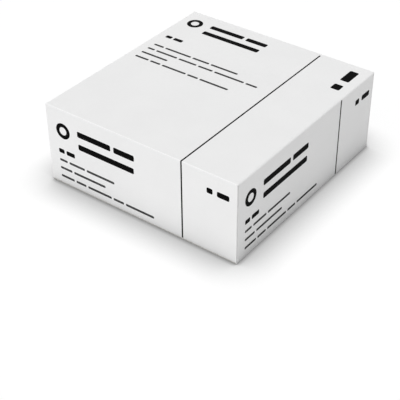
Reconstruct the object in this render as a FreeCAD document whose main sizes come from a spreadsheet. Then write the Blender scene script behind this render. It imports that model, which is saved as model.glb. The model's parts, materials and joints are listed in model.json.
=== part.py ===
import FreeCAD, Part
import math
import os

import Sketcher
from FreeCAD import Placement, Rotation, Vector

# A folding carton of ten small glass ampoules, in millimetres. The carton stands on its base with
# +Z up and its tuck closures to the front (-Y) and to the rear (+Y). The origin is the middle of
# the base. Inside, a folded leaflet lies on the base, and two formed trays lie on it, one over the
# other, with five ampoules each. Every place is worked out from the ampoule outwards.

AMPOULES_PER_TRAY = 5
LEAFLET_LAYERS = 6

# Each row is a name, its value, and what it measures.
SIZES = (
    ("board", 0.45, "thickness of the carton's board"),
    ("fold_radius", 0.6, "outer radius of a fold in the board"),
    ("board_gap", 0.15, "clearance between two layers of board that lie on each other"),
    ("hinge_gap", 0.07, "clearance between the top panel's rounded edge and a closure's hollow one"),
    ("glue_flap_height", 14.0, "top of the glue flap above the base"),
    ("glue_flap_root", 1.0, "height of the glue flap's full-length root above its fold"),
    ("glue_flap_setback", 1.3, "from the end of a side wall to the end of the glue flap"),
    ("glue_flap_slope", 20.0, "slant of the glue flap's ends, in degrees"),
    ("dust_flap_length", 22.0, "from the side wall's outer face to a dust flap's free edge"),
    ("dust_flap_relief", 1.05, "from the top or bottom panel to the edge of a dust flap"),
    ("dust_flap_slope", 12.0, "slant of a dust flap's long edges, in degrees"),
    ("dust_flap_corner", 5.0, "radius of a dust flap's corners"),
    ("closure_inset", 0.1, "from a side wall's outer face to the side edge of a closure"),
    ("tuck_inset", 1.4, "from the closure's side edge to the side edge of its tuck tab"),
    ("tuck_corner", 7.0, "radius of the tuck tab's corners"),
    ("tuck_headroom", 1.4, "from the tuck tab's tip up to the lower tray"),
    ("leaflet_thickness", 4.0, "thickness of the folded leaflet"),
    ("leaflet_sheet", 0.55, "thickness of one layer of the folded leaflet"),
    ("leaflet_inset", 1.8, "from the tray's side edge to the leaflet's folds"),
    ("leaflet_gap", 1.0, "from a tuck tab's tip to the leaflet's end"),
    ("stack_gap", 0.05, "clearance between things that lie on each other"),
    ("headroom", 2.05, "from the upper ampoules to the top panel"),
    ("tray_sheet", 0.35, "thickness of a tray's formed sheet"),
    ("tray_depth", 9.0, "height of a tray"),
    ("tray_land", 3.15, "flat land between two cradles, at the height of the axes"),
    ("tray_side_rim", 2.375, "from the outermost cradle to the tray's side edge"),
    ("tray_end_rim", 2.3, "from the cradles' ends to the tray's end edge"),
    ("tray_side_gap", 0.3, "from the tray's side edge to the glue flap"),
    ("tray_end_gap", 0.35, "from the tray's end edge to a dust flap"),
    ("tray_corner", 3.0, "radius of a tray's corners"),
    ("tray_draft", 3.0, "lean of a cradle's walls above the axis, in degrees"),
    ("seat_gap", 0.25, "clearance between an ampoule and its cradle"),
    ("cradle_end_gap", 0.3, "clearance at each end of an ampoule"),
    ("ampoule_length", 72.0, "length of an ampoule over all"),
    ("ampoule_diameter", 10.75, "diameter of an ampoule's body"),
    ("body_length", 38.0, "length of the body up to its shoulder"),
    ("shoulder_length", 2.8, "length of the shoulder"),
    ("neck_diameter", 6.5, "diameter at the constriction, where the ampoule is broken open"),
    ("bulb_diameter", 7.5, "diameter of the bulb above the constriction"),
    ("bulb_rise", 0.4, "from the constriction to the bulb's full width"),
    ("bulb_length", 7.0, "length of the bulb at its full width"),
    ("bulb_fall", 0.4, "from the bulb's full width to the stem"),
    ("stem_diameter", 6.6, "diameter of the stem"),
    ("bore_diameter", 4.5, "diameter of the hollow in the head, from the shoulder to the tip"),
    ("tip_length", 1.2, "thickness of the glass that seals the tip"),
    ("glass", 0.5, "thickness of the ampoule's wall and base"),
)

# Formulas that several pieces share. Each gives a place in the carton's own frame.

CRADLE = "(Sizes.ampoule_diameter / 2 + Sizes.seat_gap)"
HEAD_CRADLE = "(Sizes.bulb_diameter / 2 + Sizes.seat_gap)"
PITCH = "(Sizes.ampoule_diameter + 2 * Sizes.seat_gap + Sizes.tray_land)"
ROW = f"({PITCH} * {AMPOULES_PER_TRAY - 1})"
AXIS_RISE = f"(Sizes.tray_sheet + {CRADLE})"
TRAY_X = f"({ROW} / 2 + {CRADLE} + Sizes.tray_side_rim)"
CRADLE_Y = "(Sizes.ampoule_length / 2 + Sizes.cradle_end_gap)"
TRAY_Y = f"({CRADLE_Y} + Sizes.tray_end_rim)"
NECK = "(Sizes.body_length + Sizes.shoulder_length)"

WALL_X = f"({TRAY_X} + Sizes.tray_side_gap + 2 * Sizes.board)"
FLAP_Y = f"({TRAY_Y} + Sizes.tray_end_gap + Sizes.board)"
END_Y = f"({FLAP_Y} + Sizes.board_gap + Sizes.board)"
LEAFLET_Z = "(Sizes.board + Sizes.stack_gap)"
LOWER_Z = f"({LEAFLET_Z} + Sizes.leaflet_thickness + Sizes.stack_gap)"
UPPER_Z = f"({LOWER_Z} + Sizes.ampoule_diameter + Sizes.tray_sheet + 2 * Sizes.seat_gap)"
TOP_Z = f"({UPPER_Z} + {AXIS_RISE} + Sizes.ampoule_diameter / 2 + Sizes.headroom + Sizes.board)"
HINGE_Y = f"({END_Y} - Sizes.board / 2)"
HINGE_Z = f"({TOP_Z} - Sizes.board / 2)"
INNER_FOLD = "(Sizes.fold_radius - Sizes.board)"

# The tuck tab is an arc about the hinge line, so that it slides out along itself.
TAB_UNDER = f"({HINGE_Z} - Sizes.board - Sizes.board_gap)"
TAB_OVER = f"({TAB_UNDER} - Sizes.board)"
TAB_TURN = f"acos(({HINGE_Z} - {LOWER_Z} + Sizes.tuck_headroom) / {TAB_OVER})"
TAB_REACH = f"({TAB_UNDER} * sin({TAB_TURN}))"


def make_sheet(doc):
    """Puts the driving sizes in a spreadsheet, one row each."""
    sheet = doc.addObject("Spreadsheet::Sheet", "Sizes")
    for row, (alias, size, note) in enumerate(SIZES, start=1):
        sheet.set(f"A{row}", alias)
        sheet.set(f"B{row}", str(size))
        sheet.set(f"C{row}", note)
        sheet.setAlias(f"B{row}", alias)
    doc.recompute()


def make_body(doc, label, place=("0", "0", "0"), half_turn=False):
    """Starts a sub-part, with its own frame at a place that follows the sheet."""
    body = doc.addObject("PartDesign::Body", label)
    body.Label = label
    if half_turn:
        body.Placement = Placement(Vector(), Rotation(Vector(0, 0, 1), 180))
    for axis, formula in zip("xyz", place):
        body.setExpression(f"Placement.Base.{axis}", formula)
    return body


def arc_between(start, end, radius):
    """The short arc from start to end: it turns left for a positive radius, right for a negative one."""
    chord = end - start
    height = math.sqrt(max(radius ** 2 - (chord.Length / 2) ** 2, 0))
    left = Vector(-chord.y, chord.x, 0).normalize()
    centre = (start + end) / 2 + left * math.copysign(height, radius)
    first, last = (start, end) if radius > 0 else (end, start)
    angles = [math.atan2(point.y - centre.y, point.x - centre.x) for point in (first, last)]
    if angles[1] < angles[0]:
        angles[1] += 2 * math.pi
    circle = Part.Circle(centre, Vector(0, 0, 1), abs(radius))
    return Part.ArcOfCircle(circle, *angles)


def draw_loop(sketch, corners):
    """Draws one closed loop and ties each corner and radius to its formula.

    A corner is (x, y), or (x, y, turn, radius) where the side that leads to it is an arc that
    turns "left" or "right".
    """
    base = sketch.GeometryCount
    count = len(corners)
    points = [Vector(*(float(sketch.evalExpression(text)) for text in corner[:2])) for corner in corners]
    ends = []
    for number, corner in enumerate(corners):
        start, end = points[number - 1], points[number]
        if len(corner) == 2:
            sketch.addGeometry(Part.LineSegment(start, end), False)
            ends.append((1, 2))
            continue
        radius = float(sketch.evalExpression(corner[3]))
        left = corner[2] == "left"
        sketch.addGeometry(arc_between(start, end, radius if left else -radius), False)
        ends.append((1, 2) if left else (2, 1))
    for number, corner in enumerate(corners):
        side = base + number
        following = (number + 1) % count
        last, first = ends[number][1], ends[following][0]
        sketch.addConstraint(Sketcher.Constraint("Coincident", side, last, base + following, first))
        for kind, size, formula in zip(("DistanceX", "DistanceY"), points[number], corner):
            index = sketch.addConstraint(Sketcher.Constraint(kind, side, last, size))
            sketch.setExpression(f"Constraints[{index}]", formula)
        if len(corner) == 4:
            radius = float(sketch.evalExpression(corner[3]))
            index = sketch.addConstraint(Sketcher.Constraint("Radius", side, radius))
            sketch.setExpression(f"Constraints[{index}]", corner[3])


def origin_plane(body, role):
    """One of the three planes of the body's own frame."""
    return next(item for item in body.Origin.OriginFeatures if item.Role == role)


def draw(body, name, plane, loops, height="0"):
    """Puts a sketch of closed loops on one of the body's planes, raised along the plane's normal."""
    sketch = body.newObject("Sketcher::SketchObject", name)
    sketch.AttachmentSupport = (origin_plane(body, plane), "")
    sketch.MapMode = "FlatFace"
    sketch.setExpression("AttachmentOffset.Base.z", height)
    for corners in loops:
        draw_loop(sketch, corners)
    return sketch


def mirrored(corners):
    """The same loop on the other side of the middle: x changes sign, and the order is turned round."""
    plain = [(f"-({corner[0]})", corner[1]) for corner in corners]
    loop = []
    for number in reversed(range(len(corners))):
        follower = corners[(number + 1) % len(corners)]
        loop.append(plain[number] + tuple(follower[2:]))
    return loop


def rectangle(x_low, x_high, y_low, y_high):
    return [(x_low, y_low), (x_high, y_low), (x_high, y_high), (x_low, y_high)]


def extrude(body, kind, name, sketch, length=None, both_ways=False, reverse=False):
    """A Pad or a Pocket of a sketch; with no length it goes right through."""
    feature = body.newObject(f"PartDesign::{kind}", name)
    feature.Profile = sketch
    feature.SideType = "Symmetric" if both_ways else "One side"
    feature.Reversed = reverse
    if length is None:
        feature.Type = "ThroughAll"
    else:
        feature.setExpression("Length", length)
    return feature


def revolve(body, kind, name, sketch):
    """A Revolution or a Groove of a half section about the sketch's own upright axis."""
    feature = body.newObject(f"PartDesign::{kind}", name)
    feature.Profile = sketch
    feature.ReferenceAxis = (sketch, ["V_Axis"])
    feature.Angle = 360
    return feature


# Carton

def carton_section():
    """The board's section across the carton, with its side seam: outside loop, then inside loop."""
    board, fold, inner = "Sizes.board", "Sizes.fold_radius", INNER_FOLD
    left_fold = f"(-{WALL_X} + {board} + {fold})"
    outside = [
        (left_fold, "0", "left", fold),
        (f"{WALL_X} - {fold}", "0"),
        (WALL_X, fold, "left", fold),
        (WALL_X, f"{TOP_Z} - {fold}"),
        (f"{WALL_X} - {fold}", TOP_Z, "left", fold),
        (f"-{WALL_X} + {fold}", TOP_Z),
        (f"-{WALL_X}", f"{TOP_Z} - {fold}", "left", fold),
        (f"-{WALL_X}", fold),
        (f"-{WALL_X} + {board}", fold),
    ]
    inside = [
        (left_fold, board, "left", inner),
        (f"{WALL_X} - {fold}", board),
        (f"{WALL_X} - {board}", fold, "left", inner),
        (f"{WALL_X} - {board}", f"{TOP_Z} - {fold}"),
        (f"{WALL_X} - {fold}", f"{TOP_Z} - {board}", "left", inner),
        (f"-{WALL_X} + {fold}", f"{TOP_Z} - {board}"),
        (f"-{WALL_X} + {board}", f"{TOP_Z} - {fold}", "left", inner),
        (f"-{WALL_X} + {board}", "Sizes.glue_flap_height"),
        (f"-{WALL_X} + 2 * {board}", "Sizes.glue_flap_height"),
        (f"-{WALL_X} + 2 * {board}", fold),
    ]
    return [outside, inside]


def carton_sleeve(doc):
    """The tube of the carton: four panels, the glued side seam and the four dust flaps."""
    board, fold = "Sizes.board", "Sizes.fold_radius"
    body = make_body(doc, "carton_sleeve")
    tube = draw(body, "TubeSection", "XZ_Plane", carton_section())
    extrude(body, "Pad", "Tube", tube, f"2 * {FLAP_Y}", both_ways=True)

    half = "Sizes.board / 2"
    top_edges = [
        (f"-{HINGE_Y}", f"{TOP_Z} - {board}", "left", half),
        (HINGE_Y, f"{TOP_Z} - {board}"),
        (f"{HINGE_Y} + {half}", HINGE_Z, "left", half),
        (HINGE_Y, TOP_Z, "left", half),
        (f"-{HINGE_Y}", TOP_Z),
        (f"-{HINGE_Y} - {half}", HINGE_Z, "left", half),
    ]
    top = draw(body, "TopPanelSection", "YZ_Plane", [top_edges])
    extrude(body, "Pad", "TopPanel", top, f"2 * ({WALL_X} - {fold})", both_ways=True)

    base = draw(body, "BasePanelSection", "YZ_Plane", [rectangle(f"-{END_Y}", END_Y, "0", board)])
    extrude(body, "Pad", "BasePanel", base, f"2 * ({WALL_X} - {board} - {fold})", both_ways=True)

    wall_end = f"({FLAP_Y} - {fold})"
    wall_cut = rectangle(wall_end, END_Y, fold, f"{TOP_Z} - {fold}")
    ends = draw(body, "WallEnds", "YZ_Plane", [wall_cut, mirrored(wall_cut)])
    extrude(body, "Pocket", "WallEndCuts", ends, both_ways=True)

    glue_end = f"({wall_end} - Sizes.glue_flap_setback)"
    root = f"({fold} + Sizes.glue_flap_root)"
    slant = f"((Sizes.glue_flap_height - {root}) * tan(Sizes.glue_flap_slope))"
    glue_cut = [
        (glue_end, root),
        (wall_end, root),
        (wall_end, "Sizes.glue_flap_height"),
        (f"{glue_end} - {slant}", "Sizes.glue_flap_height"),
    ]
    slants = draw(body, "GlueFlapEnds", "YZ_Plane", [glue_cut, mirrored(glue_cut)],
                  height=f"-{WALL_X} + {board}")
    extrude(body, "Pocket", "GlueFlapCuts", slants, board, reverse=True)

    low = f"({board} + Sizes.dust_flap_relief)"
    high = f"({TOP_Z} - {low})"
    bend = [
        (f"{WALL_X} - {fold}", f"-{FLAP_Y}"),
        (WALL_X, f"-{wall_end}", "left", fold),
        (f"{WALL_X} - {board}", f"-{wall_end}"),
        (f"{WALL_X} - {fold}", f"-{FLAP_Y} + {board}", "right", INNER_FOLD),
    ]
    bends = draw(body, "DustFlapBends", "XY_Plane", [bend, mirrored(bend)], height=low)
    bend_pad = extrude(body, "Pad", "Bends", bends, f"{high} - {low}")

    slope = "Sizes.dust_flap_slope"
    corner = "Sizes.dust_flap_corner"
    free_x = f"({WALL_X} - Sizes.dust_flap_length)"
    narrowing = f"((Sizes.dust_flap_length - {fold}) * tan({slope}))"
    tangent = f"({corner} * tan(45 - {slope} / 2))"
    round_x = f"{free_x} + {tangent} * cos({slope})"
    flap = [
        (f"{WALL_X} - {fold}", low),
        (f"{WALL_X} - {fold}", high),
        (round_x, f"{high} - {narrowing} + {tangent} * sin({slope})"),
        (free_x, f"{high} - {narrowing} - {tangent}", "left", corner),
        (free_x, f"{low} + {narrowing} + {tangent}"),
        (round_x, f"{low} + {narrowing} - {tangent} * sin({slope})", "left", corner),
    ]
    flaps = draw(body, "DustFlaps", "XZ_Plane", [flap, mirrored(flap)], height=FLAP_Y)
    flap_pad = extrude(body, "Pad", "Flaps", flaps, board, reverse=True)

    rear = body.newObject("PartDesign::Mirrored", "RearDustFlaps")
    rear.Originals = [bend_pad, flap_pad]
    rear.MirrorPlane = (origin_plane(body, "XZ_Plane"), [""])
    body.Tip = rear
    return body


def closure(doc, label, place, half_turn=False):
    """A closure panel with its tuck tab, in a frame that lies on its hinge line."""
    board, fold, half = "Sizes.board", "Sizes.fold_radius", "Sizes.board / 2"
    body = make_body(doc, label, place, half_turn)
    hollow = f"({half} + Sizes.hinge_gap)"
    top = f"-sqrt({hollow} ^ 2 - ({half}) ^ 2)"
    bend_y = f"({fold} - {half})"
    bend_radius = f"({TAB_UNDER} - {fold})"
    bend_z = f"(-sqrt({bend_radius} ^ 2 - {bend_y} ^ 2))"
    section = [
        (f"-{half}", top, "right", hollow),
        (f"-{half}", bend_z),
        (f"{bend_y} * {TAB_UNDER} / {bend_radius}", f"{bend_z} * {TAB_UNDER} / {bend_radius}", "left", fold),
        (f"{TAB_UNDER} * sin({TAB_TURN})", f"-{TAB_UNDER} * cos({TAB_TURN})", "left", TAB_UNDER),
        (f"{TAB_OVER} * sin({TAB_TURN})", f"-{TAB_OVER} * cos({TAB_TURN})"),
        (f"{bend_y} * {TAB_OVER} / {bend_radius}", f"{bend_z} * {TAB_OVER} / {bend_radius}", "right", TAB_OVER),
        (half, bend_z, "right", INNER_FOLD),
        (half, f"-{hollow}"),
        ("0", f"-{hollow}"),
    ]
    profile = draw(body, f"{label}_section", "YZ_Plane", [section])
    side = f"({WALL_X} - Sizes.closure_inset)"
    extrude(body, "Pad", f"{label}_panel", profile, f"2 * {side}", both_ways=True)

    tab_side = f"({side} - Sizes.tuck_inset)"
    corner = "Sizes.tuck_corner"
    shoulder = [
        (tab_side, half),
        (tab_side, f"{TAB_REACH} - {corner}"),
        (f"{tab_side} - {corner}", TAB_REACH, "left", corner),
        (f"{tab_side} - {corner}", f"{TAB_REACH} + {fold}"),
        (f"{side} + {fold}", f"{TAB_REACH} + {fold}"),
        (f"{side} + {fold}", half),
    ]
    outline = draw(body, f"{label}_tab_outline", "XY_Plane", [shoulder, mirrored(shoulder)])
    body.Tip = extrude(body, "Pocket", f"{label}_tab", outline, both_ways=True)
    return body


# Contents

def leaflet(doc):
    """A paper leaflet, folded to and fro across the carton."""
    body = make_body(doc, "leaflet", ("0", "0", LEAFLET_Z))
    sheet = "Sizes.leaflet_sheet"
    step = f"((Sizes.leaflet_thickness - {sheet}) / {LEAFLET_LAYERS - 1})"
    fold_x = f"({TRAY_X} - Sizes.leaflet_inset)"

    def turn(layer, outside):
        """The two corners of one face of the sheet where a layer turns up into the next."""
        side = fold_x if outside else f"({fold_x} - {sheet})"
        across = side if layer % 2 == 0 else f"-{side}"
        low = f"{step} * {layer}" if outside else f"{step} * {layer} + {sheet}"
        high = f"{step} * {layer + 1} + {sheet}" if outside else f"{step} * {layer + 1}"
        return [(across, low), (across, high)]

    # Up along one face of the sheet, which is outside at every other fold, and down along the other.
    up, down = [], []
    for layer in range(LEAFLET_LAYERS - 1):
        up += turn(layer, outside=layer % 2 == 0)
        down += turn(layer, outside=layer % 2 == 1)
    top = f"{step} * {LEAFLET_LAYERS - 1}"
    free_edges = [(f"-{fold_x}", f"{top} + {sheet}"), (f"-{fold_x}", top)]
    loop = [(f"-{fold_x}", "0")] + up + free_edges + down[::-1] + [(f"-{fold_x}", sheet)]
    folds = draw(body, "LeafletFolds", "XZ_Plane", [loop])
    length = f"2 * ({HINGE_Y} - {TAB_REACH} - Sizes.leaflet_gap)"
    body.Tip = extrude(body, "Pad", "Leaflet", folds, length, both_ways=True)
    return body


def trough(radius, side_x):
    """A trough's section: three flats that touch one circle, and leaning walls up to the deck."""
    rise = f"(Sizes.tray_depth - {AXIS_RISE})"
    flat = f"({radius} * tan(22.5))"
    rim = f"({radius} + ({rise} + {flat}) * tan(Sizes.tray_draft))"
    return [
        (f"{side_x} - {rim}", "Sizes.tray_depth"),
        (f"{side_x} - {radius}", f"{AXIS_RISE} - {flat}"),
        (f"{side_x} - {flat}", f"{AXIS_RISE} - {radius}"),
        (f"{side_x} + {flat}", f"{AXIS_RISE} - {radius}"),
        (f"{side_x} + {radius}", f"{AXIS_RISE} - {flat}"),
        (f"{side_x} + {rim}", "Sizes.tray_depth"),
    ]


def row_of(body, name, sketch, originals):
    """Repeats one cradle's features across the tray."""
    pattern = body.newObject("PartDesign::LinearPattern", name)
    pattern.Originals = originals
    pattern.Direction = (sketch, ["H_Axis"])
    pattern.setExpression("Length", ROW)
    pattern.Occurrences = AMPOULES_PER_TRAY
    body.Tip = pattern
    return pattern


def tray(doc, label, height):
    """A tray formed from one clear sheet: a flat deck with a cradle for each ampoule and its head."""
    body = make_body(doc, label, ("0", "0", height))
    sheet, corner = "Sizes.tray_sheet", "Sizes.tray_corner"
    edge = [
        (f"-{TRAY_X} + {corner}", f"-{TRAY_Y}", "left", corner),
        (f"{TRAY_X} - {corner}", f"-{TRAY_Y}"),
        (TRAY_X, f"-{TRAY_Y} + {corner}", "left", corner),
        (TRAY_X, f"{TRAY_Y} - {corner}"),
        (f"{TRAY_X} - {corner}", TRAY_Y, "left", corner),
        (f"-{TRAY_X} + {corner}", TRAY_Y),
        (f"-{TRAY_X}", f"{TRAY_Y} - {corner}", "left", corner),
        (f"-{TRAY_X}", f"-{TRAY_Y} + {corner}"),
    ]
    deck = draw(body, f"{label}_edge", "XY_Plane", [edge], height=f"Sizes.tray_depth - {sheet}")
    extrude(body, "Pad", f"{label}_deck", deck, sheet)

    first_x = f"(-{ROW} / 2)"
    neck_y = f"({NECK} - Sizes.ampoule_length / 2)"
    zones = (
        ("body", CRADLE, f"(-{CRADLE_Y})", neck_y),
        ("head", HEAD_CRADLE, neck_y, CRADLE_Y),
    )
    shells, hollows = [], []
    for zone, radius, start, end in zones:
        wall_start = f"{start} - {sheet}" if zone == "body" else start
        outside = draw(body, f"{label}_{zone}_outside", "XZ_Plane", [trough(f"({radius} + {sheet})", first_x)],
                       height=f"-({wall_start})")
        length = f"{end} + {sheet} - ({wall_start})"
        shells.append(extrude(body, "Pad", f"{label}_{zone}_shell", outside, length, reverse=True))
    row_of(body, f"{label}_shells", outside, shells)
    for zone, radius, start, end in zones:
        inside = draw(body, f"{label}_{zone}_inside", "XZ_Plane", [trough(radius, first_x)], height=f"-({start})")
        hollows.append(extrude(body, "Pocket", f"{label}_{zone}_hollow", inside, f"{end} - {start}"))
    row_of(body, f"{label}_hollows", inside, hollows)
    return body


def ampoule(doc, label, place):
    """A sealed glass ampoule that lies along Y, blown hollow, in a frame on the middle of its base."""
    body = make_body(doc, label, place)
    radius, length = "Sizes.ampoule_diameter / 2", "Sizes.ampoule_length"
    bulb_y = f"{NECK} + Sizes.bulb_rise"
    fall_y = f"{bulb_y} + Sizes.bulb_length"
    outside = [
        ("0", "0"),
        (radius, "0"),
        (radius, "Sizes.body_length"),
        ("Sizes.neck_diameter / 2", NECK),
        ("Sizes.bulb_diameter / 2", bulb_y),
        ("Sizes.bulb_diameter / 2", fall_y),
        ("Sizes.stem_diameter / 2", f"{fall_y} + Sizes.bulb_fall"),
        ("Sizes.stem_diameter / 2", length),
        ("0", length),
    ]
    outline = draw(body, f"{label}_outline", "XY_Plane", [outside])
    revolve(body, "Revolution", f"{label}_glass", outline)

    hollow_end = f"{length} - Sizes.tip_length"
    inside = [
        ("0", "Sizes.glass"),
        (f"{radius} - Sizes.glass", "Sizes.glass"),
        (f"{radius} - Sizes.glass", "Sizes.body_length"),
        ("Sizes.bore_diameter / 2", "Sizes.body_length"),
        ("Sizes.bore_diameter / 2", hollow_end),
        ("0", hollow_end),
    ]
    hollow = draw(body, f"{label}_hollow", "XY_Plane", [inside])
    body.Tip = revolve(body, "Groove", f"{label}_cavity", hollow)
    return body


def build(doc):
    """All the sub-parts, from the carton inwards."""
    pieces = [
        carton_sleeve(doc),
        closure(doc, "front_closure", ("0", f"-{HINGE_Y}", HINGE_Z)),
        closure(doc, "rear_closure", ("0", HINGE_Y, HINGE_Z), half_turn=True),
        leaflet(doc),
    ]
    number = 0
    for label, height in (("lower_tray", LOWER_Z), ("upper_tray", UPPER_Z)):
        pieces.append(tray(doc, label, height))
        for column in range(AMPOULES_PER_TRAY):
            number += 1
            across = f"{PITCH} * {column} - {ROW} / 2"
            place = (across, "-Sizes.ampoule_length / 2", f"{height} + {AXIS_RISE}")
            pieces.append(ampoule(doc, f"ampoule_{number:02d}", place))
    return pieces


def check(doc, pieces):
    """Stops if anything in the document failed, or if a cut took nothing away."""
    for item in doc.Objects:
        if any(state in ("Invalid", "Error") for state in item.State):
            raise RuntimeError(f"{item.Name} failed: {item.State}")
        if item.TypeId in ("PartDesign::Pocket", "PartDesign::Groove"):
            if item.Shape.Volume >= item.BaseFeature.Shape.Volume:
                raise RuntimeError(f"{item.Name} cuts nothing")
    for piece in pieces:
        shape = piece.Shape
        if shape.isNull() or not shape.isValid() or len(shape.Solids) != 1:
            raise RuntimeError(f"{piece.Label} is not one sound solid")


def main():
    doc = FreeCAD.newDocument("AmpouleCarton")
    make_sheet(doc)
    pieces = build(doc)
    doc.recompute()
    check(doc, pieces)
    os.makedirs("parts", exist_ok=True)
    for piece in pieces:
        piece.Shape.exportStep(f"parts/{piece.Label}.step")


main()
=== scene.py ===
import itertools
import json
import math

import bmesh
import bpy
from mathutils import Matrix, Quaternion, Vector


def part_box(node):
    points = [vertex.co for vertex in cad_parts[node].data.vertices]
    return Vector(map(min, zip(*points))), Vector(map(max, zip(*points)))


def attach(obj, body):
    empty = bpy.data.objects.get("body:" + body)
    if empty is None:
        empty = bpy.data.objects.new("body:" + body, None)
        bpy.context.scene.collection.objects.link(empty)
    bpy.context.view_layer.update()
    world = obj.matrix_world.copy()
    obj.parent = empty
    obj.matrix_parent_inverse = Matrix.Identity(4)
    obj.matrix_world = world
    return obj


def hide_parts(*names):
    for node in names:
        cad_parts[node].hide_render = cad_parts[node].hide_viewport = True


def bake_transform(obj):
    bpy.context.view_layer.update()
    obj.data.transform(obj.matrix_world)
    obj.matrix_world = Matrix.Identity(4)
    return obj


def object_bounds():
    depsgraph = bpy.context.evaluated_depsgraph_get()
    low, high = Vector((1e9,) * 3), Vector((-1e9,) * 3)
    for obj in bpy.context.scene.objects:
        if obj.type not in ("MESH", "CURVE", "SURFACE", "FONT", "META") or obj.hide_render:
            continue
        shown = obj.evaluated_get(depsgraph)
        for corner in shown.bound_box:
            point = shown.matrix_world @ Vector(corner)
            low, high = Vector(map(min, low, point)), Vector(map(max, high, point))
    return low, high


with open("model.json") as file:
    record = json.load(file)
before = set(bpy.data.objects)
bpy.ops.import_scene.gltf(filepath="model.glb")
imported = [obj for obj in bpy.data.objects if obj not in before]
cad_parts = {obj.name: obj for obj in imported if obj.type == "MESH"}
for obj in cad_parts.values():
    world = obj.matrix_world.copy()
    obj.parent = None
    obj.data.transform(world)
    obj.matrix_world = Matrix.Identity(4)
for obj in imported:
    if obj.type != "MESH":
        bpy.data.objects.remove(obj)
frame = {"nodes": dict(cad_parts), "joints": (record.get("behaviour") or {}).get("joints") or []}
cad_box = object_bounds()

# A closed white folding carton on a white floor, in soft light from the front. Inside it lie a
# leaflet and two clear trays of glass ampoules. Lengths are in metres, written as millimetres
# times MM. The carton's closures are at -Y and +Y, and +Z is up.

MM = 0.001
LOW, HIGH = (Vector(corner) for corner in cad_box)
HINGES = {joint["child"]: Vector(joint["pos_m"]) for joint in frame["joints"]}
BOARD = 2 * (HIGH.z - HINGES["rear_closure"].z)
FLAP_END_Y = HINGES["rear_closure"].y - BOARD / 2
WHITE = (1.0, 1.0, 1.0, 1.0)

# Photograph's view, as fitted to the seven corners of the carton that it shows

AIM = Vector((9.44, -20.25, 0.0)) * MM
AZIMUTH = 37.03
ELEVATION = 37.03
ROLL = -0.457
DISTANCE = 345.17 * MM
LENS = 94.09
CLIP = (10 * MM, 10.0)

# Light and floor

SKY = 0.455
SUN = 1.80
SUN_FROM = Vector((0.0, -1.0, 1.52))
SUN_ANGLE = 50.0
FLOOR_SIZE = 4.0
FLOOR_COLOUR = 0.88
SHADOW_REACH = 13.5 * MM
SHADOW_DEPTH = 1.05
CONTACT_REACH = 1.6 * MM
CONTACT_DEPTH = 0.85
# Painted shade in the floor's colour for the light it bounces: darker within this reach, to this power
BOUNCE_REACH = 10 * MM
BOUNCE_DEPTH = 2.8
FLOOR_LIT = 0.06
FLOOR_GLOW = 0.95

# Folds and corners

FOLD = 0.6 * MM
CLOSURE_GAP = 0.1 * MM
LAYER_GAP = 0.15 * MM
FLAP_Y = FLAP_END_Y - LAYER_GAP
FOLD_STEPS = 6
CREASE_STEPS = 10
FOLD_SMOOTHING = 60.0
BEAD_RADIUS = 0.15 * MM
BEAD_PROUD = 0.003 * MM
BEAD_SUNK = 0.02 * MM
BEAD_REACH = 0.1 * MM
CREASE_REACH = 1.3 * MM
CREASE_TAPER = 0.45 * MM
CREASE_PROUD = 0.02 * MM
CREASE_SKIN = 0.03 * MM
RULE_REACH = 1.6 * MM
RULE_PROUD = 0.03 * MM
RULE_SKIN = 0.02 * MM

# Board: share of a closure's thickness drawn coated white, which on its cut edges is partly painted
# highlight, how squarely raw ends face Y, and gloss of the coat

CLOSURE_COAT_AND_HIGHLIGHT = 0.9
RAW_END_FACING = 0.9
COATING_GLOSS = 0.36

# Colours, each as the two ends of its fine variation

COATED_WHITE = ((0.868, 0.868, 0.868), (0.884, 0.884, 0.884))
BARE_BOARD = ((0.66, 0.65, 0.63), (0.80, 0.79, 0.77))
# Cut board: partly the board's grey core, and partly painted shade, darker than bare board, for the line
# where the carton meets the floor
CUT_BOARD_AND_SHADE = ((0.36, 0.355, 0.345), (0.50, 0.49, 0.475))
LEAFLET_PAPER = ((0.78, 0.78, 0.75), (0.88, 0.88, 0.86))
BLACK = ((0.001, 0.001, 0.001), (0.004, 0.004, 0.004))
GREY = ((0.045, 0.045, 0.045), (0.065, 0.065, 0.065))

# Print: spans and middles of lines in mm across a panel and down it, with the shares of its words

INK_PROUD = 0.016 * MM
INK_SUNK = 0.006 * MM
RING_RADII = (2.95, 1.5)
RING_STEPS = 64
ROUND_STEPS = 5
TITLE = {"height": 2.2, "gap": 1.3, "radius": 0.5}
STRENGTH = {"height": 1.65, "gap": 0.9, "radius": 0.4}
BODY = {"height": 0.9, "gap": 0.85, "radius": 0.35}
LABELS = {
    "top": {
        "ring": (6.2, 7.7),
        "title": [((12.5, 36.7), 6.5, (5, 3)), ((12.5, 36.4), 11.3, (1,))],
        "strength": [((3.6, 10.8), 21.3, (2, 3))],
        "body": [
            ((3.9, 39.6), 28.4, (3, 8, 5, 8)),
            ((3.6, 49.75), 31.7, (2, 6, 5, 4, 8, 3)),
            ((3.6, 14.8), 35.1, (1,)),
            ((3.6, 42.75), 38.5, (4, 3, 7, 3, 8)),
        ],
    },
    "front": {
        "ring": (6.9, 8.2),
        "title": [((13.2, 36.8), 6.9, (5, 3)), ((13.3, 36.5), 11.8, (1,))],
        "strength": [((4.3, 11.25), 16.4, (2, 3))],
        "body": [
            ((4.3, 27.9), 20.1, (2, 4, 7)),
            ((4.3, 23.9), 23.3, (3, 8)),
            ((4.3, 44.0), 26.6, (4, 3, 7, 3, 8)),
        ],
    },
    "right": {
        "ring": (7.0, 8.5),
        "title": [((13.75, 39.0), 7.15, (5, 3)), ((13.75, 38.6), 12.0, (1,))],
        "strength": [((4.3, 11.7), 16.55, (2, 3))],
        "body": [
            ((4.3, 29.3), 20.1, (2, 4, 7)),
            ((4.3, 24.8), 23.3, (3, 8)),
            ((4.3, 46.0), 26.5, (4, 3, 7, 3, 8)),
        ],
    },
}
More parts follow.
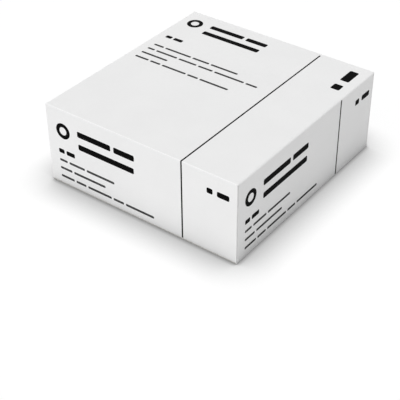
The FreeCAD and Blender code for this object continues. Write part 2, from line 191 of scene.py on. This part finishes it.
CORNER_BLOCKS = {
    "top": (((69.1, 72.4), 15.85, 3.4), ((69.1, 72.4), 7.6, 7.3)),
    "front": (((64.8, 67.0), 6.4, 2.0), ((68.6, 73.1), 6.4, 2.0)),
    "right": (((68.2, 70.7), 6.5, 2.05), ((72.4, 77.4), 6.5, 2.05)),
}
RULE_ACROSS = {"top": 55.35, "front": 55.35, "right": 58.4}
RULE_WIDTHS = {"top": 0.55, "front": 0.55, "right": 0.63}
RULE_MARGINS = {"top": (0.5, 1.5), "front": (1.5, 0.75), "right": (0.35, 0.35)}

# Ampoules: stations that the glass curves between, as (run from the base, radius) in mm

AMPOULE_STEPS = 48
CURVE_STEPS = 8
GLASS_OUTSIDE = [(38.0, 5.375), (40.8, 3.25), (42.2, 3.75), (47.2, 3.75), (49.4, 3.3), (69.4, 3.3)]
GLASS_INSIDE = [(38.0, 4.875), (40.7, 2.6), (42.3, 3.1), (47.1, 3.1), (49.3, 2.65), (68.6, 2.65)]
OUTSIDE_END = {"base": 0.0, "dish": 0.4, "corner": 0.9, "radius": 5.375, "tip": 72.0}
INSIDE_END = {"base": 0.65, "dish": 0.3, "corner": 0.9, "radius": 4.875, "tip": 70.8}
WATER_INSET = 0.02
WATER_RISE = 0.95
ON_AXIS = 0.001


# Geometry

def new_object(name, mesh_data, material, body=None):
    """Puts finished bmesh data in the scene as a piece, which rides on the body if one is given."""
    mesh = bpy.data.meshes.new(name)
    mesh_data.to_mesh(mesh)
    mesh_data.free()
    mesh.materials.append(material)
    piece = bpy.data.objects.new(name, mesh)
    bpy.context.scene.collection.objects.link(piece)
    if body:
        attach(piece, body)
    return piece


def smooth(piece, angle=40.0):
    """Shades a piece smooth, but for edges sharper than the angle."""
    for polygon in piece.data.polygons:
        polygon.use_smooth = True
    piece.data.set_sharp_from_angle(angle=math.radians(angle))
    return piece


def add_prism(mesh_data, outline, place, hole=None):
    """Adds a thin closed plate to mesh_data: outline is its edge, and hole a second edge inside it.

    An outline is a list of (across, down), and place turns (across, down, out) into a point.
    """
    layers = []
    for out in (-INK_SUNK, INK_PROUD):
        rings = [outline] if hole is None else [outline, hole]
        layers.append([[mesh_data.verts.new(place(*point, out)) for point in ring] for ring in rings])
    count = len(outline)
    for number in range(count):
        after = (number + 1) % count
        for low, high in zip(*layers):
            mesh_data.faces.new((low[number], low[after], high[after], high[number]))
        if hole is not None:
            for outer, inner in layers:
                mesh_data.faces.new((outer[number], outer[after], inner[after], inner[number]))
    if hole is None:
        for (edge,) in layers:
            mesh_data.faces.new(edge)


def quarter(middle, radius, start, steps=FOLD_STEPS):
    """The points of a quarter turn about middle, from the angle start on, or one if it is sharp."""
    if not radius:
        return [middle]
    turns = (math.radians(start + 90 * step / steps) for step in range(steps + 1))
    return [(middle[0] + radius * math.cos(t), middle[1] + radius * math.sin(t)) for t in turns]


def bar(across, down, radius):
    """A rectangle with round corners, as an outline: across and down are its two spans."""
    middle = ((across[0] + across[1]) / 2, (down[0] + down[1]) / 2)
    half = ((across[1] - across[0]) / 2, (down[1] - down[0]) / 2)
    radius = min(radius, *half)
    points = []
    for number, side in enumerate([(1, 1), (-1, 1), (-1, -1), (1, -1)]):
        corner = [centre + sign * (extent - radius) for centre, sign, extent in zip(middle, side, half)]
        points += quarter(corner, radius, 90 * number, ROUND_STEPS)
    return points


def circle(middle, radius):
    """A circle's outline."""
    turns = (2 * math.pi * number / RING_STEPS for number in range(RING_STEPS))
    return [(middle[0] + radius * math.cos(t), middle[1] + radius * math.sin(t)) for t in turns]


def top_place(across, down, out):
    """A point over the top panel: across from its left edge, down from its rear edge."""
    return LOW.x + across * MM, HIGH.y - down * MM, HIGH.z + out


def front_place(across, down, out):
    """A point before the front closure: across from its left edge, down from the top."""
    return LOW.x + across * MM, LOW.y - out, HIGH.z - down * MM


def right_place(across, down, out):
    """A point beside the right wall: across from its front edge, down from the top."""
    return HIGH.x + out, LOW.y + across * MM, HIGH.z - down * MM


# Materials

def new_material(name, **values):
    """A material with one Principled shader, whose named inputs are set to plain values."""
    material = bpy.data.materials.new(name)
    material.use_nodes = True
    shader = material.node_tree.nodes["Principled BSDF"]
    for label, value in values.items():
        shader.inputs[label.replace("_", " ")].default_value = value
    return material, material.node_tree, shader


def node(tree, kind, links=(), **settings):
    """Adds a node: settings are its properties, and links are (input, value or output socket)."""
    made = tree.nodes.new(kind)
    for label, value in settings.items():
        setattr(made, label, value)
    for label, value in links:
        if isinstance(value, bpy.types.NodeSocket):
            tree.links.new(value, made.inputs[label])
        else:
            made.inputs[label].default_value = value
    return made


def maths(tree, operation, first, second=0.0):
    """The result of a Math node."""
    return node(tree, "ShaderNodeMath", [(0, first), (1, second)], operation=operation).outputs[0]


def noise(tree, scale, detail=4.0, roughness=0.5, stretch=(1.0, 1.0, 1.0)):
    """Noise in the piece's own frame, with scale in cycles for each metre."""
    place = node(tree, "ShaderNodeTexCoord").outputs["Object"]
    mapping = node(tree, "ShaderNodeMapping", [("Vector", place), ("Scale", stretch)])
    links = [("Vector", mapping.outputs[0]), ("Scale", scale)]
    links += [("Detail", detail), ("Roughness", roughness)]
    return node(tree, "ShaderNodeTexNoise", links).outputs["Fac"]


def ramp(tree, factor, low, high, start=0.35, end=0.65):
    """Turns a factor into a colour from low to high."""
    made = node(tree, "ShaderNodeValToRGB", [("Fac", factor)])
    for element, place, colour in zip(made.color_ramp.elements, (start, end), (low, high)):
        element.position = place
        element.color = (*colour, 1.0)
    return made.outputs["Color"]


def mixed(tree, factor, first, second):
    """A colour from first to second, as the factor goes from 0 to 1."""
    made = node(tree, "ShaderNodeMix", data_type="RGBA")
    floats, colours = made.inputs[0], [socket for socket in made.inputs if socket.type == "RGBA"]
    for output, socket in ((factor, floats), (first, colours[0]), (second, colours[1])):
        tree.links.new(output, socket)
    return next(socket for socket in made.outputs if socket.type == "RGBA")


def spread(tree, factor, low, high):
    """Turns a factor of 0 to 1 into a number from low to high."""
    links = [("Value", factor), ("To Min", low), ("To Max", high)]
    return node(tree, "ShaderNodeMapRange", links).outputs["Result"]


def bump(tree, shader, height, depth, strength):
    """Roughens a shader's surface, where height goes from 0 to 1 over the depth."""
    links = [("Height", height), ("Distance", depth), ("Strength", strength)]
    tree.links.new(node(tree, "ShaderNodeBump", links).outputs[0], shader.inputs["Normal"])


def either(tree, factor, first, second):
    """One of two shaders: the first where the factor is 0, and the second where it is 1."""
    return node(tree, "ShaderNodeMixShader", [(0, factor), (1, first), (2, second)]).outputs[0]


def own_axes(tree, kind="Object"):
    """The place of a point, or with kind Normal the way its face looks, in the piece's own frame."""
    place = node(tree, "ShaderNodeTexCoord").outputs[kind]
    axes = node(tree, "ShaderNodeSeparateXYZ", [("Vector", place)]).outputs
    return [axes[label] for label in "XYZ"]


def sleeve_outside(tree):
    """Is 1 on the sleeve's printed side: past the middle of the board, on each wall and flap."""
    x, y, z = own_axes(tree)
    tests = [
        maths(tree, "GREATER_THAN", maths(tree, "ABSOLUTE", x), HIGH.x - BOARD / 2),
        maths(tree, "GREATER_THAN", z, HIGH.z - BOARD / 2),
        maths(tree, "LESS_THAN", z, BOARD / 2),
        maths(tree, "MULTIPLY", maths(tree, "GREATER_THAN", z, FOLD),
              maths(tree, "GREATER_THAN", maths(tree, "ABSOLUTE", y), FLAP_Y - BOARD / 2)),
    ]
    outside = tests[0]
    for test in tests[1:]:
        outside = maths(tree, "MAXIMUM", outside, test)
    return outside


def sleeve_raw_ends(tree):
    """Is 1 on the base panel's raw ends, which look forwards and back below the closures, and whose
    darkened cut board colour is partly painted shade along the floor.
    """
    along = maths(tree, "ABSOLUTE", own_axes(tree, "Normal")[1])
    return maths(tree, "MULTIPLY", maths(tree, "LESS_THAN", own_axes(tree)[2], BOARD),
                 maths(tree, "GREATER_THAN", along, RAW_END_FACING))


def closure_outside(tree, hinge):
    """Is 1 on a closure's printed side and outside on its tab. It also takes in most of the panel's cut
    edges, whose white there is partly painted highlight.

    The tab is an arc about the hinge, so its outer side is the one farther from the hinge.
    """
    _, y, z = own_axes(tree)
    run = maths(tree, "SUBTRACT", y, hinge.y)
    rise = maths(tree, "SUBTRACT", z, hinge.z)
    squares = [maths(tree, "MULTIPLY", length, length) for length in (run, rise)]
    reach = maths(tree, "SQRT", maths(tree, "ADD", *squares))
    tab_middle = hinge.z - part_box("front_closure")[0].z - BOARD / 2
    # Most of the panel's thickness counts as printed side, so its cut edges are white: partly painted
    # highlight
    return maths(tree, "MAXIMUM",
                 maths(tree, "GREATER_THAN", maths(tree, "ABSOLUTE", y), HIGH.y - CLOSURE_COAT_AND_HIGHLIGHT * BOARD),
                 maths(tree, "GREATER_THAN", reach, tab_middle))


def board_material(name, hinge=None):
    """Carton board: coated white outside, bare grey-white fibre inside, and on the base panel's raw ends a
    grey cut core, darkened further as painted shade along the floor.
    """
    material, tree, shader = new_material(name, Specular_IOR_Level=0.42)
    outside = sleeve_outside(tree) if hinge is None else closure_outside(tree, hinge)
    mottle = noise(tree, scale=90.0, detail=5.0)
    fibre = noise(tree, scale=1500.0, detail=6.0, roughness=0.65, stretch=(1.0, 0.35, 1.0))
    colour = mixed(tree, outside, ramp(tree, fibre, *BARE_BOARD), ramp(tree, mottle, *COATED_WHITE))
    if hinge is None:
        # The raw ends at the floor take the cut board colour, which is partly painted shade
        colour = mixed(tree, sleeve_raw_ends(tree), colour, ramp(tree, fibre, *CUT_BOARD_AND_SHADE))
    tree.links.new(colour, shader.inputs["Base Color"])
    rough = maths(tree, "SUBTRACT", spread(tree, fibre, low=0.80, high=0.98),
                  maths(tree, "MULTIPLY", outside, COATING_GLOSS))
    tree.links.new(rough, shader.inputs["Roughness"])
    bump(tree, shader, fibre, depth=0.012 * MM, strength=0.35)
    return material


def ink_material(name, tones):
    """Printing ink with a slightly uneven lay-down."""
    material, tree, shader = new_material(name, Specular_IOR_Level=0.015)
    cover = noise(tree, scale=2600.0, detail=3.0)
    tree.links.new(ramp(tree, cover, *tones), shader.inputs["Base Color"])
    tree.links.new(spread(tree, cover, low=0.45, high=0.62), shader.inputs["Roughness"])
    bump(tree, shader, cover, depth=0.006 * MM, strength=0.3)
    return material


def paper_material():
    """Thin uncoated leaflet paper, with fine darker lines along its sides as painted shade between its
    folded layers.
    """
    material, tree, shader = new_material("leaflet_paper", Specular_IOR_Level=0.3)
    fibre = noise(tree, scale=1900.0, detail=6.0, roughness=0.7)
    # Bands along Z: painted shade between the folded layers, mixed with the fibre tone
    layers = noise(tree, scale=700.0, detail=2.0, stretch=(0.02, 0.02, 8.0))
    shade = maths(tree, "MULTIPLY", fibre, layers)
    tree.links.new(ramp(tree, shade, *LEAFLET_PAPER, start=0.18, end=0.34), shader.inputs["Base Color"])
    tree.links.new(spread(tree, fibre, low=0.85, high=0.98), shader.inputs["Roughness"])
    bump(tree, shader, shade, depth=0.06 * MM, strength=0.5)
    return material


def sheet_material():
    """Clear formed plastic sheet: thin, so it is seen through face on and shines edge on."""
    material, tree, shader = new_material("tray_clear_sheet", Transmission_Weight=0.92, IOR=1.53,
                                          Base_Color=(0.96, 0.975, 0.985, 1.0))
    haze = noise(tree, scale=160.0, detail=3.0)
    tree.links.new(spread(tree, haze, low=0.03, high=0.12), shader.inputs["Roughness"])
    facing = node(tree, "ShaderNodeLayerWeight", [("Blend", 0.35)]).outputs["Facing"]
    tree.links.new(spread(tree, facing, low=0.16, high=0.85), shader.inputs["Alpha"])
    bump(tree, shader, haze, depth=0.05 * MM, strength=0.2)
    return material


def glass_material():
    """Clear drawn glass with a faint waviness along the tube."""
    material, tree, shader = new_material("ampoule_glass", Transmission_Weight=1.0, IOR=1.49,
                                          Base_Color=(0.985, 0.995, 0.992, 1.0))
    wave = noise(tree, scale=220.0, detail=2.0, stretch=(1.0, 0.12, 1.0))
    tree.links.new(spread(tree, wave, low=0.0, high=0.03), shader.inputs["Roughness"])
    bump(tree, shader, wave, depth=0.02 * MM, strength=0.1)
    return material


def water_material():
    """Clear water, with an almost still surface."""
    material, tree, shader = new_material("water", Transmission_Weight=1.0, IOR=1.333,
                                          Base_Color=(0.985, 0.995, 1.0, 1.0))
    ripple = noise(tree, scale=300.0, detail=1.0)
    tree.links.new(spread(tree, ripple, low=0.0, high=0.012), shader.inputs["Roughness"])
    return material


# Carton

def add_loft(mesh_data, sections):
    """Adds a closed surface through sections, each a list of the points round its edge."""
    rings = [[mesh_data.verts.new(point) for point in section] for section in sections]
    for ring, after in zip(rings, rings[1:]):
        for number in range(len(ring)):
            beside = (number + 1) % len(ring)
            mesh_data.faces.new((ring[number], ring[beside], after[beside], after[number]))
    for ring in (rings[0], rings[-1]):
        mesh_data.faces.new(ring)
    bmesh.ops.recalc_face_normals(mesh_data, faces=mesh_data.faces)


def strip_outline(ends, round_end, skin):
    """A strip's section across its length, as (x, drop) along its face and back along its back.

    ends are its two edges along X, where it drops off in a curve of radius round_end.
    """
    outline = []
    for radius, depth, order in ((round_end, 0.0, 1), (max(round_end - skin, 0.0), skin, -1)):
        curve = quarter((0.0, 0.0), radius, 0.0)
        right = [(ends[1] - round_end + up, depth + radius - along) for along, up in curve]
        left = [(ends[0] + round_end - up, depth + radius - along) for along, up in curve]
        outline += (left[::-1] + right)[::order]
    return outline


def fold_rows(reach, proud, edge_proud, skin, edges, round_ends):
    """The sections of a strip that runs over a closure's fold and thins out at both ends.

    Each is (run past the hinge, rise over it, angle of the outside, height of the face over the
    hinge, outline). edges and round_ends give the strip's two edges along X and their radius at four
    places: its start on the top panel, where the fold starts and ends, and its end.
    """
    tall, low = BOARD / 2 + proud, BOARD / 2 + edge_proud
    start, before, after, end = (strip_outline(*ends, skin) for ends in zip(edges, round_ends))
    full = CREASE_TAPER - reach
    rows = [(-reach, 0.0, 90.0, low, start), (full, 0.0, 90.0, tall, start)]
    for step in range(CREASE_STEPS + 1):
        share = step / CREASE_STEPS
        between = [tuple(a + (b - a) * share for a, b in zip(*pair)) for pair in zip(before, after)]
        rows.append((0.0, 0.0, 90.0 * (1 - share), tall, between))
    return rows + [(0.0, full, 0.0, tall, after), (0.0, -reach, 0.0, low, end)]


def add_fold_piece(name, closure, rows, material):
    """A strip over a closure's fold."""
    hinge = HINGES[closure]
    side = math.copysign(1.0, hinge.y)
    sections = []
    for run, rise, turn, height, outline in rows:
        out = Vector((0.0, side * math.cos(math.radians(turn)), math.sin(math.radians(turn))))
        foot = hinge + Vector((0.0, side * run, rise))
        sections.append([foot + out * (height - drop) + Vector((x, 0.0, 0.0)) for x, drop in outline])
    mesh_data = bmesh.new()
    add_loft(mesh_data, sections)
    piece = smooth(new_object(name, mesh_data, material), FOLD_SMOOTHING)
    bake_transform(piece)


def bead(corner, proud=BEAD_PROUD):
    """What makes a fold of the board tight outside, as a section round its sharp corner.

    The board lies below and left of the corner, which the bead fills from the fold's own curve.
    """
    side, top = corner[0] + proud, corner[1] + proud
    low = (corner[0] - FOLD, corner[1] - FOLD)
    outer = quarter((side - BEAD_RADIUS, top - BEAD_RADIUS), BEAD_RADIUS, 0.0)
    inner = quarter(low, FOLD - BEAD_SUNK, 0.0)
    return [(side, low[1] - BEAD_REACH)] + outer + [(low[0] - BEAD_REACH, top)] + inner[::-1]


def wall_beads(material):
    """The tight edges where the side walls turn into the dust flaps, up to the top panel's corners.

    At its top each leans out to the closure's fold, and closes the small relief below it.
    """
    mesh_data = bmesh.new()
    section = bead((HIGH.x, FLAP_Y))
    lean = HINGES["rear_closure"].y - FLAP_Y
    heights = [(FOLD, 0.0), (HIGH.z - FOLD, 0.0), (HIGH.z - BOARD / 2 - BEAD_SUNK, lean)]
    for side_x, side_y in itertools.product((-1, 1), repeat=2):
        add_loft(mesh_data, [[(side_x * x, side_y * (y + shift), z) for x, y in section]
                             for z, shift in heights])
    smooth(new_object("wall_edges", mesh_data, material, "carton"), FOLD_SMOOTHING)


def base_corners(material):
    """The base panel's folded corners, from the dust flaps out to its raw ends."""
    mesh_data = bmesh.new()
    raw_end = HIGH.x - BOARD - FOLD
    for side_x, fold_x in ((1, HIGH.x - FOLD), (-1, raw_end)):
        outer = quarter((fold_x, FOLD), FOLD - BEAD_PROUD, -90.0)
        inner = quarter((fold_x, FOLD), FOLD - BOARD + BEAD_PROUD, -90.0)
        root_x = raw_end - BEAD_REACH
        section = [(root_x, outer[0][1])] + outer + inner[::-1] + [(root_x, inner[0][1])]
        for side_y in (-1, 1):
            add_loft(mesh_data, [[(side_x * x, side_y * y, LOW.z + z) for x, z in section]
                                 for y in (FLAP_Y - BEAD_REACH, HIGH.y - BEAD_PROUD)])
    smooth(new_object("base_corners", mesh_data, material, "carton"), FOLD_SMOOTHING)


def base_edge(material):
    """The tight lower edge of the right wall, where it folds into the base panel.

    The left wall has no such fold: it ends there, with the glue flap inside it.
    """
    mesh_data = bmesh.new()
    proud = 2 * BEAD_PROUD
    section = bead((HIGH.x, -LOW.z), proud)
    ends = (LOW.y + proud, HIGH.y - proud)
    add_loft(mesh_data, [[(x, y, -z) for x, z in section] for y in ends])
    smooth(new_object("base_edge", mesh_data, material, "carton"), FOLD_SMOOTHING)


def closure_edge(closure, material):
    """The tight lower edge of a closure, where its panel turns into the tuck tab."""
    low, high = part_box(closure)
    side = math.copysign(1.0, HINGES[closure].y)
    section = bead((HIGH.y, -low[2]))
    mesh_data = bmesh.new()
    add_loft(mesh_data, [[(x, side * y, -z) for y, z in section] for x in (low[0], high[0])])
    smooth(new_object(f"{closure}_edge", mesh_data, material, closure), FOLD_SMOOTHING)


# Print

def words(line, down, shares, gap):
    """Splits a line of print into bars: line is its span across, and shares are the bars' lengths."""
    room = line[1] - line[0] - gap * (len(shares) - 1)
    across = line[0]
    made = []
    for share in shares:
        width = room * share / sum(shares)
        made.append(((across, across + width), down))
        across += width + gap
    return made


def text_bars(lines, kind):
    """The bars of some lines of print of one kind, as outlines."""
    made = []
    for span, middle, shares in lines:
        down = (middle - kind["height"] / 2, middle + kind["height"] / 2)
        made += [bar(*place, kind["radius"]) for place in words(span, down, shares, kind["gap"])]
    return made


def print_piece(name, material, place, body, outlines, ring=None):
    """One printed piece: plates of ink, and one ring if it has one."""
    mesh_data = bmesh.new()
    for outline in outlines:
        add_prism(mesh_data, outline, place)
    if ring is not None:
        outer, inner = (circle(ring, radius) for radius in RING_RADII)
        add_prism(mesh_data, outer, place, hole=inner)
    bmesh.ops.recalc_face_normals(mesh_data, faces=mesh_data.faces)
    new_object(name, mesh_data, material, body)


def rule_sides(panel):
    """The two sides of the rule down a panel, in mm across it."""
    return RULE_ACROSS[panel] - RULE_WIDTHS[panel] / 2, RULE_ACROSS[panel] + RULE_WIDTHS[panel] / 2


def print_panel(panel, place, body, length, black, grey):
    """All the print of one panel but what runs over a fold: length is the panel's, down it."""
    label = LABELS[panel]
    bold = text_bars(label["title"], TITLE) + text_bars(label["strength"], STRENGTH)
    for across, middle, height in CORNER_BLOCKS[panel]:
        bold.append(bar(across, (middle - height / 2, middle + height / 2), TITLE["radius"]))
    print_piece(f"{panel}_bold_print", black, place, body, bold, ring=label["ring"])
    print_piece(f"{panel}_fine_print", grey, place, body, text_bars(label["body"], BODY))
    left, right = rule_sides(panel)
    start, end = RULE_MARGINS[panel][0], length / MM - RULE_MARGINS[panel][1]
    rule = [(left, start), (right, start), (right, end), (left, end)]
    print_piece(f"{panel}_rule", black, place, body, [rule])


# Ampoules

def glass_profile(stations, end):
    """The glass's outline from the middle of its base to its tip, as (run, radius) in mm."""
    dish_radius = end["radius"] - end["corner"]
    points = []
    for step in range(CURVE_STEPS + 1):
        share = step / CURVE_STEPS
        points.append((end["base"] + end["dish"] * (1 - share ** 2), dish_radius * share))
    for step in range(1, CURVE_STEPS + 1):
        turn = math.radians(90 * step / CURVE_STEPS)
        points.append((end["base"] + end["corner"] * (1 - math.cos(turn)),
                       dish_radius + end["corner"] * math.sin(turn)))
    points.append(stations[0])
    for (run, radius), (next_run, next_radius) in zip(stations, stations[1:]):
        steps = CURVE_STEPS if radius != next_radius else 1
        for step in range(1, steps + 1):
            share = step / steps
            ease = share * share * (3 - 2 * share)
            points.append((run + (next_run - run) * share, radius + (next_radius - radius) * ease))
    run, radius = stations[-1]
    for step in range(1, CURVE_STEPS + 1):
        turn = math.radians(90 * step / CURVE_STEPS)
        points.append((run + (end["tip"] - run) * math.sin(turn), radius * math.cos(turn)))
    return points


def add_turned(mesh_data, profile, foot, inward=False):
    """Adds the closed surface that a profile makes when it turns about an axis along Y."""
    rings = []
    for run, radius in profile:
        if radius < ON_AXIS:
            rings.append([mesh_data.verts.new(foot + Vector((0.0, run * MM, 0.0)))])
            continue
        turns = (2 * math.pi * number / AMPOULE_STEPS for number in range(AMPOULE_STEPS))
        points = (Vector((radius * math.cos(t), run, radius * math.sin(t))) for t in turns)
        rings.append([mesh_data.verts.new(foot + point * MM) for point in points])
    faces = []
    for ring, after in zip(rings, rings[1:]):
        for number in range(AMPOULE_STEPS):
            beside = (number + 1) % AMPOULE_STEPS
            corners = [ring[number % len(ring)], ring[beside % len(ring)],
                       after[beside % len(after)], after[number % len(after)]]
            faces.append(mesh_data.faces.new(list(dict.fromkeys(corners))))
    bmesh.ops.recalc_face_normals(mesh_data, faces=faces)
    if inward:
        bmesh.ops.reverse_faces(mesh_data, faces=faces)


def ampoule(name, glass, water):
    """One ampoule of clear glass in the place of its solid, with the water that lies in it."""
    low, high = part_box(name)
    foot = Vector(((low[0] + high[0]) / 2, low[1], (low[2] + high[2]) / 2))
    mesh_data = bmesh.new()
    add_turned(mesh_data, glass_profile(GLASS_OUTSIDE, OUTSIDE_END), foot)
    hollow = glass_profile(GLASS_INSIDE, INSIDE_END)
    add_turned(mesh_data, hollow, foot, inward=True)
    piece = smooth(new_object(f"{name}_glass", mesh_data, glass, "carton"))
    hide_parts(name)

    mesh_data = bmesh.new()
    within = [(run, max(0.0, radius - WATER_INSET)) for run, radius in hollow]
    within[0] = (within[0][0] + WATER_INSET, 0.0)
    within[-1] = (within[-1][0] - WATER_INSET, 0.0)
    add_turned(mesh_data, within, foot)
    everything = mesh_data.verts[:] + mesh_data.edges[:] + mesh_data.faces[:]
    level = foot + Vector((0.0, 0.0, WATER_RISE * MM))
    cut = bmesh.ops.bisect_plane(mesh_data, geom=everything, plane_co=level,
                                 plane_no=(0.0, 0.0, 1.0), clear_outer=True)
    edges = [item for item in cut["geom_cut"] if isinstance(item, bmesh.types.BMEdge)]
    bmesh.ops.contextual_create(mesh_data, geom=edges)
    bmesh.ops.recalc_face_normals(mesh_data, faces=mesh_data.faces)
    smooth(new_object(f"{name}_water", mesh_data, water, "carton"))


# Studio

def make_camera():
    """The photograph's camera."""
    azimuth, elevation = math.radians(AZIMUTH), math.radians(ELEVATION)
    back = Vector((math.sin(azimuth) * math.cos(elevation),
                   -math.cos(azimuth) * math.cos(elevation),
                   math.sin(elevation)))
    data = bpy.data.cameras.new("camera")
    data.lens = LENS
    camera = bpy.data.objects.new("camera", data)
    camera.rotation_mode = "QUATERNION"
    camera.location = AIM + back * DISTANCE
    roll = Quaternion((0, 0, 1), math.radians(ROLL))
    camera.rotation_quaternion = (-back).to_track_quat("-Z", "Y") @ roll
    data.clip_start, data.clip_end = CLIP
    bpy.context.scene.collection.objects.link(camera)
    bpy.context.scene.camera = camera


def seen_rays(tree):
    """Is 1 for rays of the camera, and for those that show the surroundings in gloss or glass."""
    path = node(tree, "ShaderNodeLightPath").outputs
    return maths(tree, "MAXIMUM", path["Is Camera Ray"],
                 maths(tree, "MAXIMUM", path["Is Glossy Ray"], path["Is Transmission Ray"]))


def make_light():
    """An even white sky, and one wide soft sun from the front, high up."""
    world = bpy.data.worlds.new("sky")
    world.use_nodes = True
    tree = world.node_tree
    tree.nodes.clear()
    lit, white = (node(tree, "ShaderNodeBackground", [("Color", WHITE), ("Strength", strength)]).outputs[0]
                  for strength in (SKY, 1.0))
    node(tree, "ShaderNodeOutputWorld", [("Surface", either(tree, seen_rays(tree), lit, white))])
    bpy.context.scene.world = world

    data = bpy.data.lights.new("sun", "SUN")
    data.energy = SUN
    data.angle = math.radians(SUN_ANGLE)
    sun = bpy.data.objects.new("sun", data)
    sun.rotation_mode = "QUATERNION"
    sun.rotation_quaternion = SUN_FROM.to_track_quat("Z", "Y")
    bpy.context.scene.collection.objects.link(sun)


def openness(tree, reach, depth):
    """How much of the sky a point of the floor sees past what stands within reach, to a power."""
    occlusion = node(tree, "ShaderNodeAmbientOcclusion", [("Distance", reach)], samples=16)
    return maths(tree, "POWER", occlusion.outputs["AO"], depth)


def floor_material():
    """White, but for the soft shadow where something stands on it.

    What the camera sees glows white less the shadow. What lights the carton is diffuse, with painted shade
    darkening its colour near what stands on it.
    """
    material = bpy.data.materials.new("floor_white")
    material.use_nodes = True
    tree = material.node_tree
    tree.nodes.clear()
    # Painted shade: the floor's bounce colour darkens near what stands on it
    bounce_shaded = maths(tree, "MULTIPLY", openness(tree, BOUNCE_REACH, BOUNCE_DEPTH), FLOOR_COLOUR)
    tone = node(tree, "ShaderNodeCombineColor", [(number, bounce_shaded) for number in range(3)]).outputs[0]
    plain = node(tree, "ShaderNodeBsdfDiffuse", [("Color", tone)])
    lit = node(tree, "ShaderNodeBsdfDiffuse", [("Color", (FLOOR_LIT, FLOOR_LIT, FLOOR_LIT, 1.0))])
    shade = maths(tree, "MULTIPLY", openness(tree, SHADOW_REACH, SHADOW_DEPTH),
                  openness(tree, CONTACT_REACH, CONTACT_DEPTH))
    strength = maths(tree, "MULTIPLY", shade, FLOOR_GLOW)
    glow = node(tree, "ShaderNodeEmission", [("Color", WHITE), ("Strength", strength)])
    white = node(tree, "ShaderNodeAddShader", [(0, lit.outputs[0]), (1, glow.outputs[0])])
    surface = either(tree, seen_rays(tree), plain.outputs[0], white.outputs[0])
    node(tree, "ShaderNodeOutputMaterial", [("Surface", surface)])
    return material


def make_floor():
    """The floor, which isn't part of the object."""
    mesh_data = bmesh.new()
    bmesh.ops.create_grid(mesh_data, x_segments=1, y_segments=1, size=FLOOR_SIZE / 2)
    new_object("floor", mesh_data, floor_material())


# Scene

make_camera()
make_light()
make_floor()

board = board_material("carton_board")
black_ink = ink_material("black_ink", BLACK)
grey_ink = ink_material("grey_ink", GREY)
clear_sheet = sheet_material()
node_materials = {
    "carton_sleeve": board,
    "leaflet": paper_material(),
    "lower_tray": clear_sheet,
    "upper_tray": clear_sheet,
}
for closure, hinge in HINGES.items():
    node_materials[closure] = board_material(f"{closure}_board", hinge)
for name, material in node_materials.items():
    frame["nodes"][name].data.materials[0] = material

side_ends = [HIGH.x, HIGH.x, HIGH.x - CLOSURE_GAP, HIGH.x - CLOSURE_GAP]
crease = fold_rows(CREASE_REACH, CREASE_PROUD, BEAD_PROUD, CREASE_SKIN,
                   edges=[(-end, end) for end in side_ends],
                   round_ends=[FOLD, BOARD / 2, BOARD / 2, BEAD_RADIUS])
for closure in HINGES:
    add_fold_piece(f"{closure}_crease", closure, crease, board)
    closure_edge(closure, node_materials[closure])
wall_beads(board)
base_corners(board)
base_edge(board)

rule_ends = tuple(LOW.x + side * MM for side in rule_sides("top"))
rule_over_fold = fold_rows(RULE_REACH, RULE_PROUD, INK_PROUD, RULE_SKIN,
                           edges=[rule_ends] * 4, round_ends=[0.0] * 4)
add_fold_piece("fold_rule", "front_closure", rule_over_fold, black_ink)

depth, height = HIGH.y - LOW.y, HIGH.z - LOW.z
print_panel("top", top_place, "carton", depth, black_ink, grey_ink)
print_panel("front", front_place, "front_closure", height, black_ink, grey_ink)
print_panel("right", right_place, "carton", height, black_ink, grey_ink)

glass_look, water_look = glass_material(), water_material()
for name in sorted(frame["nodes"]):
    if name.startswith("ampoule"):
        ampoule(name, glass_look, water_look)

bpy.context.scene.view_settings.view_transform = "Standard"
